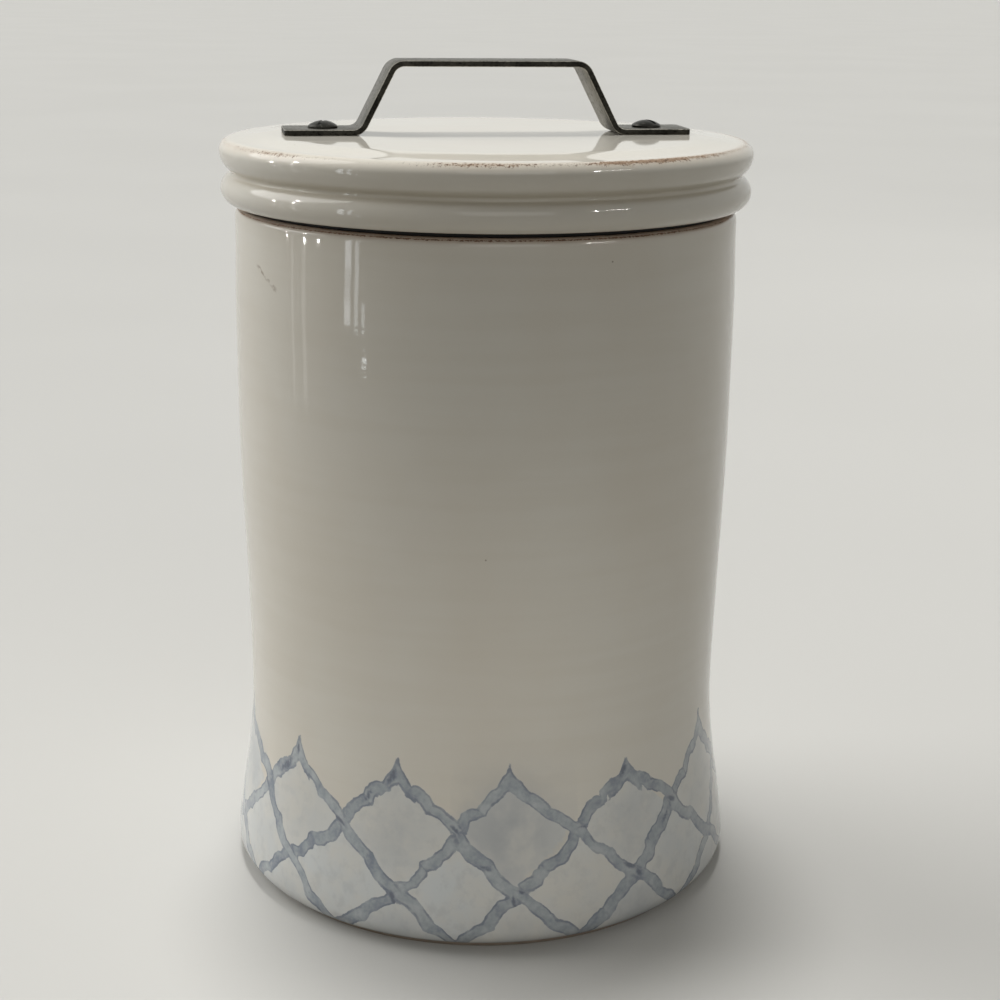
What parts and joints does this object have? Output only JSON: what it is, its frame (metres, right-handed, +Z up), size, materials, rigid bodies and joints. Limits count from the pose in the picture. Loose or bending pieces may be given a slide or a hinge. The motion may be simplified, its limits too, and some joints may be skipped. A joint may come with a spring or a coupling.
{
  "type": "biscuit jar",
  "caption": "Tall stoneware biscuit jar with a flared foot, a painted trellis band round the base and a beaded lift-off lid with a steel strap handle.",
  "frame": {"origin": "on the worktop, at the centre of the jar's standing ring", "axes": "+Z up along the jar's axis; the handle runs along X; the front faces -Y"},
  "size_m": [0.1822, 0.1822, 0.2875],
  "materials": {
    "cream_glaze": "warm off-white gloss glaze over red clay, with a blue-grey painted trellis round the base and bare clay on the standing ring",
    "seal_silicone": "matt charcoal food-grade silicone",
    "gunmetal_steel": "oiled dark gunmetal finish, burnished lighter on the faces and edges",
    "dark_screw_steel": "blackened steel, worn lighter on the dome",
    "washer_rubber": "matt black rubber",
    "bright_steel": "plain stainless steel"
  },
  "bodies": {
    "jar": {"jar_body": "cream_glaze"},
    "seal": {"seal_ring": "seal_silicone"},
    "lid": {"lid": "cream_glaze", "handle_strap": "gunmetal_steel", "handle_screw_left": "dark_screw_steel", "handle_screw_right": "dark_screw_steel", "cushion_washer_left": "washer_rubber", "cushion_washer_right": "washer_rubber", "flat_washer_left": "bright_steel", "flat_washer_right": "bright_steel", "cap_nut_left": "bright_steel", "cap_nut_right": "bright_steel"}
  },
  "joints": [
    {"name": "lid_lift", "type": "slide", "parent": "jar", "child": "seal", "axis": [0, 0, 1], "range_m": [0, 0.15]},
    {"name": "lid_turn", "type": "hinge", "parent": "seal", "child": "lid", "pos_m": [0, 0, 0.2406], "axis": [0, 0, 1], "continuous": true}
  ]
}
